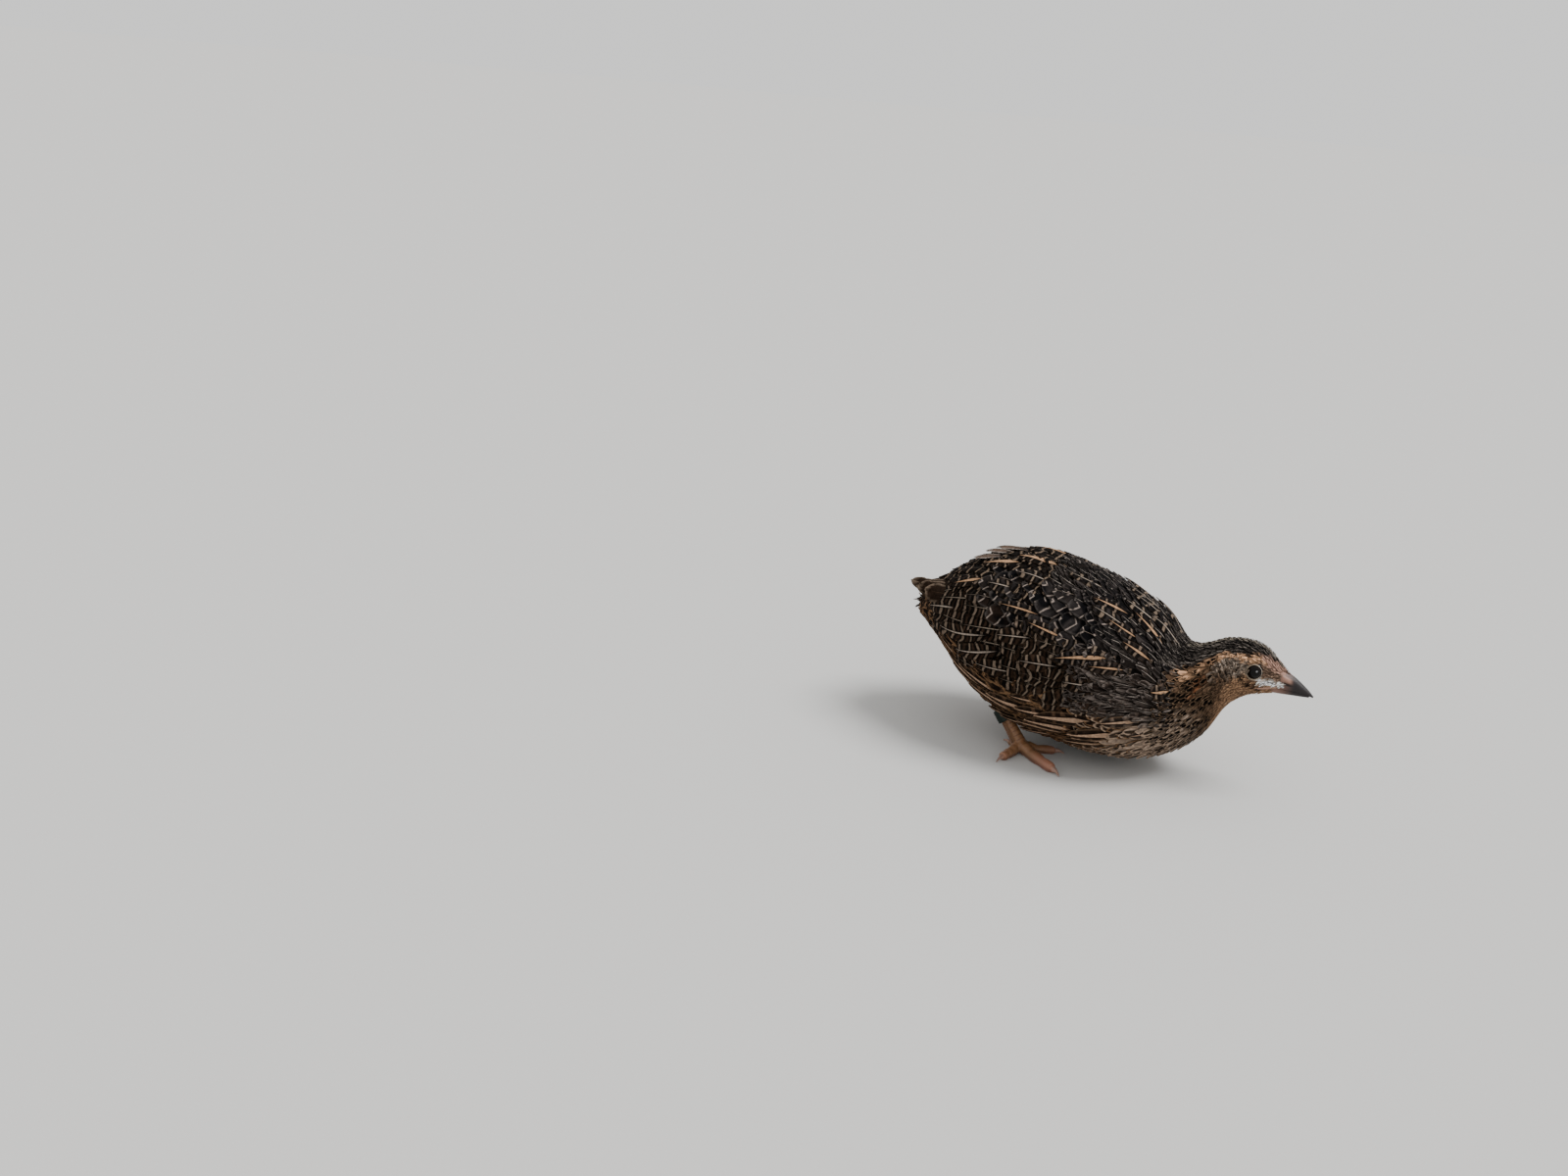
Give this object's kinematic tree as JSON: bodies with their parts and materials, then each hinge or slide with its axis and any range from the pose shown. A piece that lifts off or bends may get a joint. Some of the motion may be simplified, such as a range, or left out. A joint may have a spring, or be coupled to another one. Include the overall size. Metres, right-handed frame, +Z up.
{
  "type": "coturnix quail hen, still life-size model",
  "caption": "Crouched coturnix quail hen with folded wings, head stretched forward and turned a little aside, standing on spread toes, a plain ring on one leg.",
  "frame": {"origin": "on the ground, under the middle of the whole bird", "axes": "+X the way the bird faces, from tail to bill, +Y to its left, +Z up"},
  "size_m": [0.1376, 0.0658, 0.0675],
  "materials": {
    "body_feathers": "soft body feathers, matt",
    "wing_feathers": "flight and tail feathers, slight sheen",
    "bill_horn": "horn, smooth and slightly glossy",
    "eye": "wet, glossy",
    "leg_skin": "scaly skin, satin",
    "claw_horn": "horn, slightly glossy",
    "ring_plastic": "moulded plastic, plain, no marking"
  },
  "bodies": {
    "root": {"torso": "body_feathers", "neck": "body_feathers", "head": "body_feathers", "tail": "wing_feathers", "wing_right": "wing_feathers", "wing_left": "wing_feathers", "bill_upper": "bill_horn", "bill_lower": "bill_horn", "eye_right": "eye", "eye_left": "eye", "leg_right": "leg_skin", "leg_left": "leg_skin", "foot_right": "leg_skin", "foot_left": "leg_skin", "leg_ring_right": "ring_plastic", "claw_inner_right": "claw_horn", "claw_middle_right": "claw_horn", "claw_outer_right": "claw_horn", "claw_hind_right": "claw_horn", "claw_inner_left": "claw_horn", "claw_middle_left": "claw_horn", "claw_outer_left": "claw_horn", "claw_hind_left": "claw_horn"}
  },
  "joints": []
}
